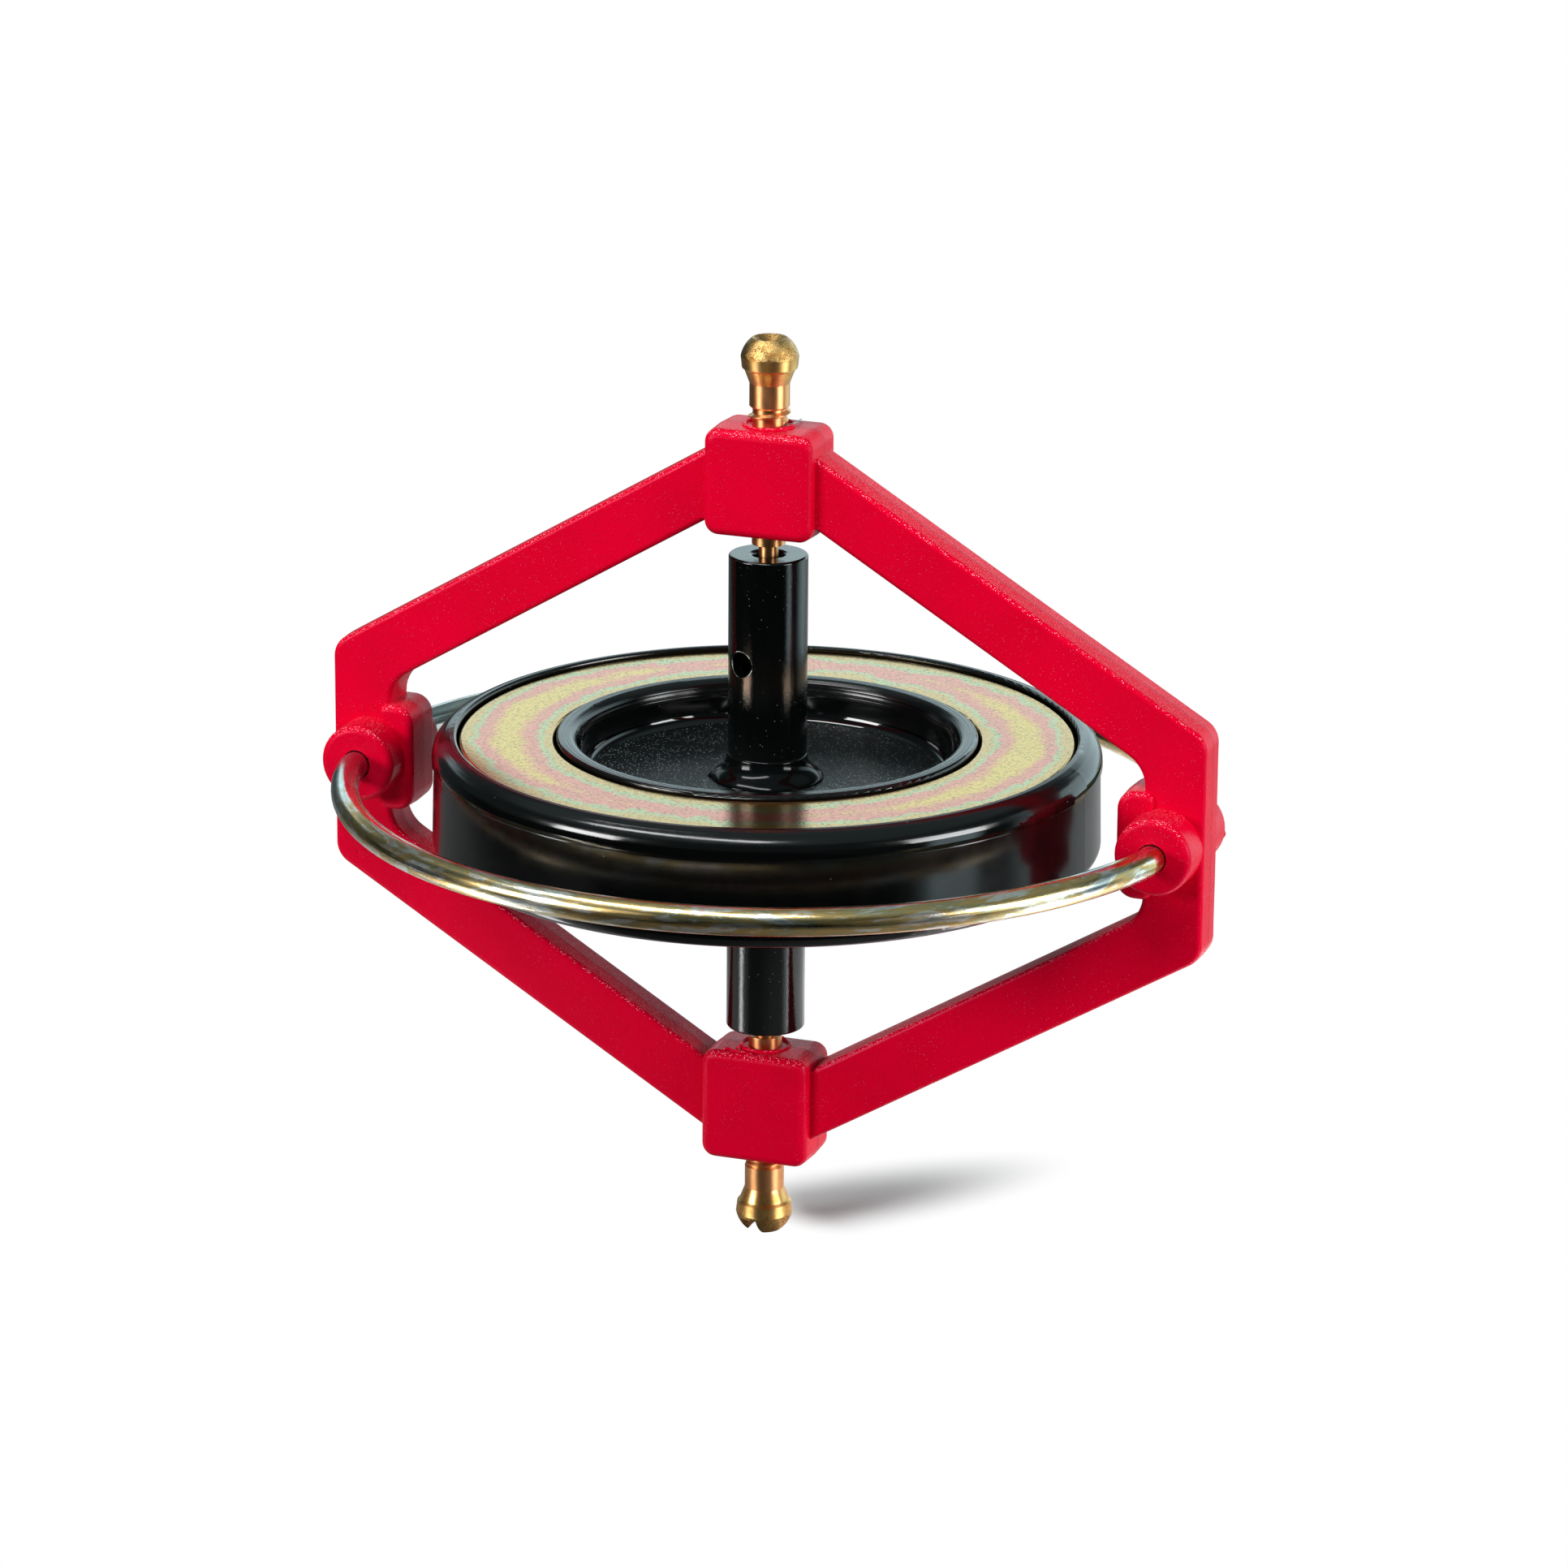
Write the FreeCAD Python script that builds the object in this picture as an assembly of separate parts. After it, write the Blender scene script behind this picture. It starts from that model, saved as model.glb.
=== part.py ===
import FreeCAD, Part
import math
import os

# A hand gyroscope: a red moulded frame, a flywheel on a hollow-ended spindle, two brass
# pivot screws that carry the spindle, and two half-ring guard wires plugged into bosses.
# The lower screw's ball head has a slot, by which the gyroscope rides on a taut string.
# The spin axis is Z and the frame lies in the XZ plane. Every piece is drawn about the
# flywheel's centre, then lifted so that the lower pivot ball stands on z = 0.

# Driving dimensions, in millimetres and degrees.

# Flywheel: a moulded disc with a steel ring let into its top.
rotor_radius = 33.0
rotor_top_height = 6.05        # rim top above the centre plane
rotor_bottom_depth = 5.35      # flat underside below the centre plane
rim_width = 2.45
shoulder_radius = 2.2          # rounding of the rim's outer top edge
rim_inner_edge = 0.25          # rounding of the rim's edge over the steel ring
rim_bead_drop = 2.8            # from the rim top down to the step under the rounded rim
rim_bead_step = 0.2            # how far the rounded rim stands out over the wall
rotor_foot_radius = 1.1        # rounding of the lower outer edge
ring_width = 9.3
ring_thickness = 7.6
ring_recess = 0.45             # rim top above the steel ring's face
ring_gap = 0.25                # dark gap on each side of the ring
ring_edge = 0.3                # broken edges of the ring
lip_width = 1.9                # raised lip between the ring and the dish
lip_edge = 0.35                # rounding of the lip's edge over the steel ring
lip_shoulder = 0.9             # rounding of the lip's edge over the dish
dish_depth = 4.45
dish_wall_taper = 0.6
dish_corner_radius = 1.3
web_thickness = 3.2            # disc thickness under the dish floor
recess_margin = 1.2            # underside recess is this much wider than the dish floor

# Spindle: a plastic rod with a blind bore in each end and a cross hole for the pull string.
spindle_radius = 3.9
spindle_end_gap = 2.16         # from the spindle's end to the frame block
spindle_edge = 0.25
bore_radius = 1.5
bore_depth = 6.0
bore_mouth_radius = 0.45       # rounding of the bore's mouth
string_hole_radius = 1.3
string_hole_height = 13.8      # above the centre plane
string_hole_turn = 22.7        # direction of the hole, from -Y towards -X
bead_reach = 2.05              # adhesive bead round the foot of the spindle
bead_height = 1.6
bead_toe = 0.2
bead_hollow = 0.42             # how far the bead's flank is dished

# Bearing cups: steel seats pressed to the bottom of the two bores.
cup_height = 2.5
cup_wall = 0.35
cup_seat_floor_radius = 0.12

# Pivot screws: brass, the same but for the lower one's slot.
ball_radius = 2.88
ball_rim_radius = 1.72         # where the dome ends at the dimple
dimple_land = 0.08
dimple_angle = 60.0            # half angle of the conical dimple
band_height = 1.35             # turned band round the ball's widest part
band_rise = 0.5                # from the ball's centre to the band's outer edge
band_taper = 0.12
head_cone_height = 1.3
head_cone_edge = 0.25          # step in radius between the head's cone and the neck
neck_radius = 1.97
neck_length = 2.45
neck_edge = 0.2
thread_show = 1.74             # threaded length left showing over the upper block
thread_core_radius = 1.65      # core of the thread, and the plain shank under it
shank_reach = 1.11             # how far the shank passes the block's inner face
pin_radius = 0.97
pin_tip_radius = 0.1
pin_tip_angle = 30.0           # half angle of the pin's point
slot_width = 1.9
slot_depth = 1.47
slot_turn = 18.0               # direction of the slot, from -Y towards -X

# Frame: a hexagon of arms and posts between two blocks, drafted both ways from mid depth.
rim_gap = 3.8                  # from the flywheel's edge to the lugs
lug_reach = 2.6                # how far a lug stands in from its post
lug_half_height = 5.5
lug_half_depth = 3.0
lug_overlap = 1.2              # how far a lug's face runs over the post
lug_corner_radius = 1.9
lug_root_radius = 0.9          # rounding of the lug's ends on the post's face
lug_edge_radius = 0.7
post_width = 6.2
post_half_height = 11.0        # to the corner where the upper arm leaves the post
arm_angle = 30.9
upper_arm_width = 6.2
lower_arm_width = 6.45
arm_half_depth = 2.35
arm_edge_radius = 0.5
outer_corner_radius = 2.4
inner_corner_radius = 3.6
draft_angle = 1.6
block_width = 11.3
upper_block_height = 10.8
lower_block_height = 11.5
block_half_depth = 3.65
block_inset = 1.22             # inner face of a block below the arms' underside at its side
block_corner_radius = 1.4
block_edge_radius = 0.9
boss_radius = 4.0
boss_reach = 6.15              # boss face in front of the parting plane
boss_face_shrink = 0.15        # draft of the boss, from its root to its face
boss_edge_radius = 0.7
boss_inset = 1.0               # boss axis nearer the spin axis than the post's centre line
boss_drop = 0.2                # bosses and lugs below the flywheel's centre plane

# Guard wires: two half rings of round wire with straight ends.
wire_radius = 1.37
guard_gap = 5.2                # from the flywheel's edge to the wire
guard_corner_radius = 4.0
guard_lead = 0.85              # straight wire showing outside a boss
guard_end_gap = 1.0            # between the two wires' ends inside a boss

# Clearances of the pieces that turn or plug in.
thread_clearance = 0.05
wire_clearance = 0.1
point_clearance = 0.05         # end play between a pin's point and its cup


def vec(x, y, z):
    return FreeCAD.Vector(x, y, z)


centre = vec(0, 0, 0)
rightward = vec(1, 0, 0)
upward = vec(0, 0, 1)


def corner_points(before, corner, after, radius):
    """Start, middle and end of the arc that rounds one corner of an outline."""
    back = (before - corner).normalize()
    ahead = (after - corner).normalize()
    half_angle = back.getAngle(ahead) / 2
    run = radius / math.tan(half_angle)
    middle_way = (back + ahead).normalize()
    middle = corner + middle_way * (radius / math.sin(half_angle) - radius)
    return corner + back * run, middle, corner + ahead * run


def rounded_wire(outline, depth=0.0):
    """Closed wire in the plane y = depth from (x, z, corner radius) points."""
    corners = [vec(x, depth, z) for x, z, radius in outline]
    count = len(corners)
    joints = []
    for index, (x, z, radius) in enumerate(outline):
        corner = corners[index]
        if radius > 0:
            before = corners[index - 1]
            after = corners[(index + 1) % count]
            joints.append(corner_points(before, corner, after, radius))
        else:
            joints.append((corner, None, corner))
    edges = []
    for index, (start, middle, end) in enumerate(joints):
        if middle is not None:
            edges.append(Part.Arc(start, middle, end).toShape())
        following = joints[(index + 1) % count][0]
        if end.distanceToPoint(following) > 1e-6:
            edges.append(Part.LineSegment(end, following).toShape())
    return Part.Wire(edges)


def turned(outline):
    """Solid of revolution about Z from (radius, height, corner radius) points."""
    face = Part.Face(rounded_wire(outline))
    return face.revolve(centre, upward, 360)


def upright_cylinder(radius, low, high):
    return Part.makeCylinder(radius, high - low, vec(0, 0, low))


# Heights and widths that follow from the driving dimensions.

arm_tangent = math.tan(math.radians(arm_angle))
arm_cosine = math.cos(math.radians(arm_angle))
draft_tangent = math.tan(math.radians(draft_angle))

lug_inner_x = rotor_radius + rim_gap
post_inner_x = lug_inner_x + lug_reach
post_outer_x = post_inner_x + post_width
boss_x = post_inner_x + post_width / 2 - boss_inset

upper_arm_peak = post_half_height + post_outer_x * arm_tangent
window_peak = upper_arm_peak - upper_arm_width / arm_cosine
lower_arm_peak = window_peak + lower_arm_width / arm_cosine
block_inner_z = window_peak - block_width / 2 * arm_tangent - block_inset
upper_block_z = block_inner_z + upper_block_height
lower_block_z = -block_inner_z - lower_block_height

spindle_end_z = block_inner_z - spindle_end_gap
bore_floor_z = spindle_end_z - bore_depth
dish_floor_z = rotor_top_height - dish_depth
web_bottom_z = dish_floor_z - web_thickness

shank_end_z = block_inner_z - shank_reach
neck_start_z = upper_block_z + thread_show
neck_end_z = neck_start_z + neck_length
band_start_z = neck_end_z + head_cone_height
band_end_z = band_start_z + band_height
ball_centre_z = band_end_z - band_rise
ball_tip_z = ball_centre_z + math.sqrt(ball_radius ** 2 - ball_rim_radius ** 2)
band_radius = math.sqrt(ball_radius ** 2 - band_rise ** 2)

# Flywheel radii, from the rim inwards.
groove_outer_radius = rotor_radius - rim_width
ring_outer_radius = groove_outer_radius - ring_gap
ring_inner_radius = ring_outer_radius - ring_width
groove_inner_radius = ring_inner_radius - ring_gap
dish_mouth_radius = groove_inner_radius - lip_width
dish_floor_radius = dish_mouth_radius - dish_wall_taper
recess_radius = dish_floor_radius + recess_margin

# Bearing seat: the cone's mouth leaves a thin wall, and its sides stand at 45 degrees.
cup_mouth_radius = bore_radius - cup_wall
cup_seat_depth = cup_mouth_radius - cup_seat_floor_radius
cup_seat_z = bore_floor_z + cup_height - cup_seat_depth


def make_rotor_body():
    top = rotor_top_height
    bottom = -rotor_bottom_depth
    bead_z = top - rim_bead_drop
    ring_floor_z = top - ring_recess - ring_thickness
    outline = [
        (spindle_radius, web_bottom_z, 0),
        (recess_radius - dish_wall_taper, web_bottom_z, dish_corner_radius),
        (recess_radius, bottom, lip_edge),
        (rotor_radius, bottom, rotor_foot_radius),
        (rotor_radius - rim_bead_step, bead_z, 0),
        (rotor_radius, bead_z + rim_bead_step, 0),
        (rotor_radius, top, shoulder_radius),
        (groove_outer_radius, top, rim_inner_edge),
        (groove_outer_radius, ring_floor_z, 0),
        (groove_inner_radius, ring_floor_z, 0),
        (groove_inner_radius, top, lip_edge),
        (dish_mouth_radius, top, lip_shoulder),
        (dish_floor_radius, dish_floor_z, dish_corner_radius),
        (spindle_radius, dish_floor_z, 0),
    ]
    return turned(outline)


def make_flywheel_ring():
    top = rotor_top_height - ring_recess
    bottom = top - ring_thickness
    outline = [
        (ring_inner_radius, bottom, ring_edge),
        (ring_outer_radius, bottom, ring_edge),
        (ring_outer_radius, top, ring_edge),
        (ring_inner_radius, top, ring_edge),
    ]
    return turned(outline)


def make_spindle():
    end = spindle_end_z
    outline = [
        (0, bore_floor_z, 0),
        (bore_radius, bore_floor_z, 0),
        (bore_radius, end, bore_mouth_radius),
        (spindle_radius, end, spindle_edge),
        (spindle_radius, -end, spindle_edge),
        (bore_radius, -end, bore_mouth_radius),
        (bore_radius, -bore_floor_z, 0),
        (0, -bore_floor_z, 0),
    ]
    turn = math.radians(string_hole_turn)
    way = vec(-math.sin(turn), -math.cos(turn), 0)
    start = vec(0, 0, string_hole_height) - way * 2 * spindle_radius
    string_hole = Part.makeCylinder(string_hole_radius, 4 * spindle_radius, start, way)
    return turned(outline).cut(string_hole)


def make_spindle_bead():
    """Concave ring of adhesive in the corner between the spindle and the dish floor."""
    inner = vec(spindle_radius, 0, dish_floor_z)
    foot = vec(spindle_radius + bead_reach, 0, dish_floor_z)
    toe = foot + vec(0, 0, bead_toe)
    crest = inner + vec(0, 0, bead_height)
    across = (toe - crest).normalize()
    hollow = (toe + crest) * 0.5 + vec(across.z, 0, -across.x) * bead_hollow
    edges = [
        Part.LineSegment(inner, foot).toShape(),
        Part.LineSegment(foot, toe).toShape(),
        Part.Arc(toe, hollow, crest).toShape(),
        Part.LineSegment(crest, inner).toShape(),
    ]
    face = Part.Face(Part.Wire(edges))
    return face.revolve(centre, upward, 360)


def make_bearing_cup():
    outline = [
        (0, bore_floor_z, 0),
        (bore_radius, bore_floor_z, 0),
        (bore_radius, bore_floor_z + cup_height, 0),
        (cup_mouth_radius, bore_floor_z + cup_height, 0),
        (cup_seat_floor_radius, cup_seat_z, 0),
        (0, cup_seat_z, 0),
    ]
    return turned(outline)


def make_pivot_screw():
    """Upper screw: ball head outside the block, threaded core in it, point in the cup."""
    point_z = cup_seat_z + point_clearance
    point_length = (pin_radius - pin_tip_radius) / math.tan(math.radians(pin_tip_angle))
    dimple_radius = ball_rim_radius - dimple_land
    dimple_depth = dimple_radius / math.tan(math.radians(dimple_angle))
    band_angle = math.asin(band_rise / ball_radius)
    rim_angle = math.acos(ball_rim_radius / ball_radius)
    dome_angle = (band_angle + rim_angle) / 2
    dome_middle = vec(math.cos(dome_angle), 0, math.sin(dome_angle)) * ball_radius
    below_dome = [
        (0, point_z),
        (pin_tip_radius, point_z),
        (pin_radius, point_z + point_length),
        (pin_radius, shank_end_z),
        (thread_core_radius, shank_end_z),
        (thread_core_radius, neck_start_z),
        (neck_radius - neck_edge, neck_start_z),
        (neck_radius, neck_start_z + neck_edge),
        (neck_radius, neck_end_z),
        (band_radius - band_taper - head_cone_edge, band_start_z),
        (band_radius - band_taper, band_start_z + head_cone_edge),
        (band_radius, band_end_z),
    ]
    above_dome = [
        (ball_rim_radius, ball_tip_z),
        (dimple_radius, ball_tip_z),
        (0, ball_tip_z - dimple_depth),
        (0, point_z),
    ]
    edges = []
    for stretch in (below_dome, above_dome):
        points = [vec(radius, 0, height) for radius, height in stretch]
        for start, end in zip(points, points[1:]):
            edges.append(Part.LineSegment(start, end).toShape())
    dome = Part.Arc(vec(band_radius, 0, band_end_z),
                    vec(0, 0, ball_centre_z) + dome_middle,
                    vec(ball_rim_radius, 0, ball_tip_z))
    edges.insert(len(below_dome) - 1, dome.toShape())
    face = Part.Face(Part.Wire(edges))
    return face.revolve(centre, upward, 360)


def make_slotted_screw():
    """Lower screw: the same, with a slot across its ball head."""
    slot = Part.makeBox(slot_width, 4 * ball_radius, 2 * slot_depth,
                        vec(-slot_width / 2, -2 * ball_radius, -ball_tip_z - slot_depth))
    slot.rotate(centre, upward, -slot_turn)
    return half_turned(make_pivot_screw(), rightward).cut(slot)


def half_turned(shape, axis):
    """The same piece again, half a turn away about an axis through the centre."""
    copy = shape.copy()
    copy.rotate(centre, axis, 180)
    return copy


def hexagon(side, upper_peak, lower_peak, upper_end, lower_end, radius):
    """Outline with arms at the arm angle, cut off at the end heights inside the blocks."""
    upper_corner = upper_peak - side * arm_tangent
    lower_corner = lower_peak - side * arm_tangent
    upper_x = (upper_peak - upper_end) / arm_tangent
    lower_x = (lower_peak - lower_end) / arm_tangent
    return [
        (side, -lower_corner, radius),
        (side, upper_corner, radius),
        (upper_x, upper_end, 0),
        (-upper_x, upper_end, 0),
        (-side, upper_corner, radius),
        (-side, -lower_corner, radius),
        (-lower_x, -lower_end, 0),
        (lower_x, -lower_end, 0),
    ]


def frame_outline(inset):
    shrink = inset / arm_cosine
    return hexagon(post_outer_x - inset, upper_arm_peak - shrink, lower_arm_peak - shrink,
                   upper_block_z - block_corner_radius, -lower_block_z - block_corner_radius,
                   outer_corner_radius)


def window_outline(inset):
    peak = window_peak + inset / arm_cosine
    end = block_inner_z + block_corner_radius
    return hexagon(post_inner_x + inset, peak, peak, end, end, inner_corner_radius)


def drafted(outline, half_depth):
    """Two halves that taper away from the parting plane, joined along it."""
    shrink = half_depth * draft_tangent
    middle = rounded_wire(outline(0), 0)
    halves = []
    for depth in (-half_depth, half_depth):
        face = rounded_wire(outline(shrink), depth)
        halves.append(Part.makeLoft([middle, face], True, True))
    return halves[0].fuse(halves[1])


def face_edges(shape, half_depth, skip=None):
    """Edges of the flat front and rear faces of a drafted piece."""
    chosen = []
    for edge in shape.Edges:
        box = edge.BoundBox
        on_front = abs(box.YMin + half_depth) < 1e-4 and abs(box.YMax + half_depth) < 1e-4
        on_rear = abs(box.YMin - half_depth) < 1e-4 and abs(box.YMax - half_depth) < 1e-4
        if (on_front or on_rear) and not (skip and skip(box)):
            chosen.append(edge)
    return chosen


def drafted_pad(x_low, x_high, z_low, z_high, half_depth, low_radius, high_radius, edge_radius):
    """Rounded block that is drafted both ways, with its corner radii at low and high x."""
    def outline(inset):
        return [
            (x_low + inset, z_low + inset, low_radius),
            (x_high - inset, z_low + inset, high_radius),
            (x_high - inset, z_high - inset, high_radius),
            (x_low + inset, z_high - inset, low_radius),
        ]
    pad = drafted(outline, half_depth)
    return pad.makeFillet(edge_radius, face_edges(pad, half_depth))


def make_boss(x):
    """Round boss that stands out of the front and the rear of a post."""
    outline = [
        (0, -boss_reach, 0),
        (boss_radius - boss_face_shrink, -boss_reach, boss_edge_radius),
        (boss_radius, 0, 0),
        (boss_radius - boss_face_shrink, boss_reach, boss_edge_radius),
        (0, boss_reach, 0),
    ]
    boss = turned(outline)
    boss.rotate(centre, rightward, 90)
    boss.translate(vec(x, 0, -boss_drop))
    return boss


def make_frame():
    window = drafted(window_outline, 2 * arm_half_depth)
    plate = drafted(frame_outline, arm_half_depth).cut(window)
    inside_block = block_inner_z + block_corner_radius / 2
    ends = face_edges(plate, arm_half_depth, lambda box: abs(box.Center.z) > inside_block)
    frame = plate.makeFillet(arm_edge_radius, ends)
    for z_low, z_high in ((block_inner_z, upper_block_z), (lower_block_z, -block_inner_z)):
        block = drafted_pad(-block_width / 2, block_width / 2, z_low, z_high, block_half_depth,
                            block_corner_radius, block_corner_radius, block_edge_radius)
        frame = frame.fuse(block)
    lug = drafted_pad(lug_inner_x, post_inner_x + lug_overlap,
                      -lug_half_height - boss_drop, lug_half_height - boss_drop,
                      lug_half_depth, lug_corner_radius, lug_root_radius, lug_edge_radius)
    frame = frame.fuse(lug).fuse(half_turned(lug, upward))
    for x in (-boss_x, boss_x):
        frame = frame.fuse(make_boss(x))
    screw_hole = upright_cylinder(thread_core_radius + thread_clearance,
                                  2 * lower_block_z, 2 * upper_block_z)
    frame = frame.cut(screw_hole)
    for x in (-boss_x, boss_x):
        wire_hole = Part.makeCylinder(wire_radius + wire_clearance, 4 * boss_reach,
                                      vec(x, -2 * boss_reach, -boss_drop), vec(0, 1, 0))
        frame = frame.cut(wire_hole)
    return frame.removeSplitter()


def make_guard_wire():
    """Front wire: two straight ends, two tight bends and one wide arc, all tangent."""
    front = rotor_radius + guard_gap + wire_radius
    lead_y = boss_reach + guard_lead
    bend_x = boss_x - guard_corner_radius
    rise = front - lead_y
    arc_radius = ((bend_x ** 2 + rise ** 2 - guard_corner_radius ** 2)
                  / (2 * (rise - guard_corner_radius)))
    arc_centre = vec(0, arc_radius - front, 0)
    bend_centre = vec(bend_x, -lead_y, 0)
    outwards = (bend_centre - arc_centre).normalize()
    touch = bend_centre + outwards * guard_corner_radius
    sideways = (outwards + vec(1, 0, 0)).normalize()
    bend_middle = bend_centre + sideways * guard_corner_radius
    end = vec(boss_x, -guard_end_gap / 2, 0)
    lead = vec(boss_x, -lead_y, 0)

    def mirrored(point):
        return vec(-point.x, point.y, point.z)

    path = Part.Wire([
        Part.LineSegment(end, lead).toShape(),
        Part.Arc(lead, bend_middle, touch).toShape(),
        Part.Arc(touch, vec(0, -front, 0), mirrored(touch)).toShape(),
        Part.Arc(mirrored(touch), mirrored(bend_middle), mirrored(lead)).toShape(),
        Part.LineSegment(mirrored(lead), mirrored(end)).toShape(),
    ])
    section = Part.Wire(Part.makeCircle(wire_radius, end, vec(0, 1, 0)))
    wire = path.makePipeShell([section], True, True)
    wire.translate(vec(0, 0, -boss_drop))
    return wire


front_wire = make_guard_wire()
bearing_cup = make_bearing_cup()
pieces = {
    "frame": make_frame(),
    "front_guard_wire": front_wire,
    "rear_guard_wire": half_turned(front_wire, upward),
    "rotor_body": make_rotor_body(),
    "flywheel_ring": make_flywheel_ring(),
    "spindle": make_spindle(),
    "spindle_bead": make_spindle_bead(),
    "upper_bearing_cup": bearing_cup,
    "lower_bearing_cup": half_turned(bearing_cup, rightward),
    "upper_pivot_screw": make_pivot_screw(),
    "lower_pivot_screw": make_slotted_screw(),
}

os.makedirs("parts", exist_ok=True)
for name, shape in pieces.items():
    solid = shape.Solids[0]
    solid.translate(vec(0, 0, ball_tip_z))
    solid.exportStep("parts/" + name + ".step")
    size = solid.BoundBox
    print(name, len(shape.Solids), "solid", solid.isValid(), round(solid.Volume, 2),
          round(size.ZMin, 3), round(size.ZMax, 3))
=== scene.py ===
import math
import random

import bmesh
import bpy
from mathutils import Matrix, Vector


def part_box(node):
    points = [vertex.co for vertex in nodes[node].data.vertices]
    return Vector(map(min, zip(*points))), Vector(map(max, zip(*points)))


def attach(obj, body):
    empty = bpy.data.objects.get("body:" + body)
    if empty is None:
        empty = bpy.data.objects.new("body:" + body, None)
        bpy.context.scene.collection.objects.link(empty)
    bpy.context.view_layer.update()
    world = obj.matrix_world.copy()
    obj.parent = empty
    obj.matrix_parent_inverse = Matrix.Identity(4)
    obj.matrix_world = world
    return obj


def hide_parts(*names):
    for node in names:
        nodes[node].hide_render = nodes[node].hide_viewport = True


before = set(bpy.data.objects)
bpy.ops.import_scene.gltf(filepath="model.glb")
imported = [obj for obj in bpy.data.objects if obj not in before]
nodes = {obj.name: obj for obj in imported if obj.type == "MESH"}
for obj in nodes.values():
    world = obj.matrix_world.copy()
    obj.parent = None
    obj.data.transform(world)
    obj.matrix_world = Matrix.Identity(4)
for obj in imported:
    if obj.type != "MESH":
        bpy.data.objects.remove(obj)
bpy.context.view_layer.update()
mm = 0.001

spindleLow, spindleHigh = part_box("spindle")
wheelCentre = Vector((0, 0, (spindleLow.z + spindleHigh.z) / 2))
print("frame loaded with", len(nodes), "nodes")


# camera

cameraView = {
    "azimuth": 20.15, "elevation": 17.396, "roll": 0.432,   # degrees round the flywheel's centre
    "distance": 0.63861, "near": 0.01, "far": 20,           # metres
    "lens": 148.737, "sensor": 36,                          # mm
    "sideways": -0.001678, "upwards": -0.000723,            # where the centre sits off the lens axis
}


def bearing(azimuth, elevation=0):
    # azimuth 0 stands in front of the object, on the -Y side, and 90 stands on the +X side
    a, e = math.radians(azimuth), math.radians(elevation)
    return Vector((math.sin(a) * math.cos(e), -math.cos(a) * math.cos(e), math.sin(e)))


def makeCamera(view):
    back = bearing(view["azimuth"], view["elevation"])
    level = bearing(view["azimuth"] + 90)
    tall = back.cross(level)
    turn = math.radians(view["roll"])
    right = level * math.cos(turn) + tall * math.sin(turn)
    up = tall * math.cos(turn) - level * math.sin(turn)
    place = wheelCentre + back * view["distance"] - right * view["sideways"] - up * view["upwards"]
    data = bpy.data.cameras.new("camera")
    data.lens = view["lens"]
    data.sensor_width = view["sensor"]
    data.clip_start, data.clip_end = view["near"], view["far"]
    camera = bpy.data.objects.new("camera", data)
    matrix = Matrix((right, up, back)).transposed().to_4x4()
    matrix.translation = place
    camera.matrix_world = matrix
    bpy.context.scene.collection.objects.link(camera)
    bpy.context.scene.camera = camera


makeCamera(cameraView)
bpy.context.scene.view_settings.view_transform = "Standard"
print("camera set")


# small helpers for node trees
# in a finish, a noise is written as scale, detail, roughness, warp and seed, specks as scale, size and
# share, and a range as the two values it runs between, with what they become where that isn't 0 and 1

def connect(tree, value, socket):
    if isinstance(value, bpy.types.NodeSocket):
        tree.links.new(value, socket)
    else:
        socket.default_value = value


def addNode(tree, kind, inputs=None, **settings):
    node = tree.nodes.new(kind)
    for key, value in settings.items():
        setattr(node, key, value)
    for key, value in (inputs or {}).items():
        connect(tree, value, node.inputs[key])
    return node


def calc(tree, operation, *values, clamp=False):
    inputs = dict(enumerate(values))
    return addNode(tree, "ShaderNodeMath", inputs, operation=operation, use_clamp=clamp).outputs[0]


def times(tree, first, *others):
    for value in others:
        first = calc(tree, "MULTIPLY", first, value)
    return first


def plus(tree, first, second):
    return calc(tree, "ADD", first, second)


def minus(tree, first, second):
    return calc(tree, "SUBTRACT", first, second)


def raised(tree, base, mask, amount):
    # the base value, with the amount added where the mask is 1
    return plus(tree, base, times(tree, mask, amount))


def between(tree, value, low, high, start=0.0, end=1.0):
    # smooth step from start to end as value goes from low to high
    inputs = {"Value": value, "From Min": low, "From Max": high, "To Min": start, "To Max": end}
    return addNode(tree, "ShaderNodeMapRange", inputs, interpolation_type="SMOOTHSTEP").outputs["Result"]


def vectorCalc(tree, operation, first, second=(0, 0, 0)):
    return addNode(tree, "ShaderNodeVectorMath", {0: first, 1: second}, operation=operation)


def alongWay(tree, vector, way):
    return vectorCalc(tree, "DOT_PRODUCT", vector, way).outputs["Value"]


def splitPoint(tree, vector):
    return addNode(tree, "ShaderNodeSeparateXYZ", {"Vector": vector}).outputs


def joined(tree, x, y, z):
    return addNode(tree, "ShaderNodeCombineXYZ", {0: x, 1: y, 2: z}).outputs[0]


def paint(red, green, blue):
    # an 8-bit screen colour as the shader's linear colour
    def linear(value):
        share = value / 255
        return share / 12.92 if share <= 0.04045 else ((share + 0.055) / 1.055) ** 2.4
    return (linear(red), linear(green), linear(blue), 1)


def blendColours(tree, factor, first, second):
    return addNode(tree, "ShaderNodeMix", {0: factor, 6: first, 7: second}, data_type="RGBA").outputs[2]


def bandColours(tree, factor, finish):
    # the finish's bands, each a place from 0 to 1 and the name of its colour
    node = addNode(tree, "ShaderNodeValToRGB", {"Fac": factor})
    ramp = node.color_ramp
    ramp.interpolation = "EASE"
    while len(ramp.elements) < len(finish["bands"]):
        ramp.elements.new(1)
    for element, (place, colour) in zip(ramp.elements, finish["bands"]):
        element.position = place
        element.color = paint(*finish[colour])
    return node.outputs["Color"]


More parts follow.
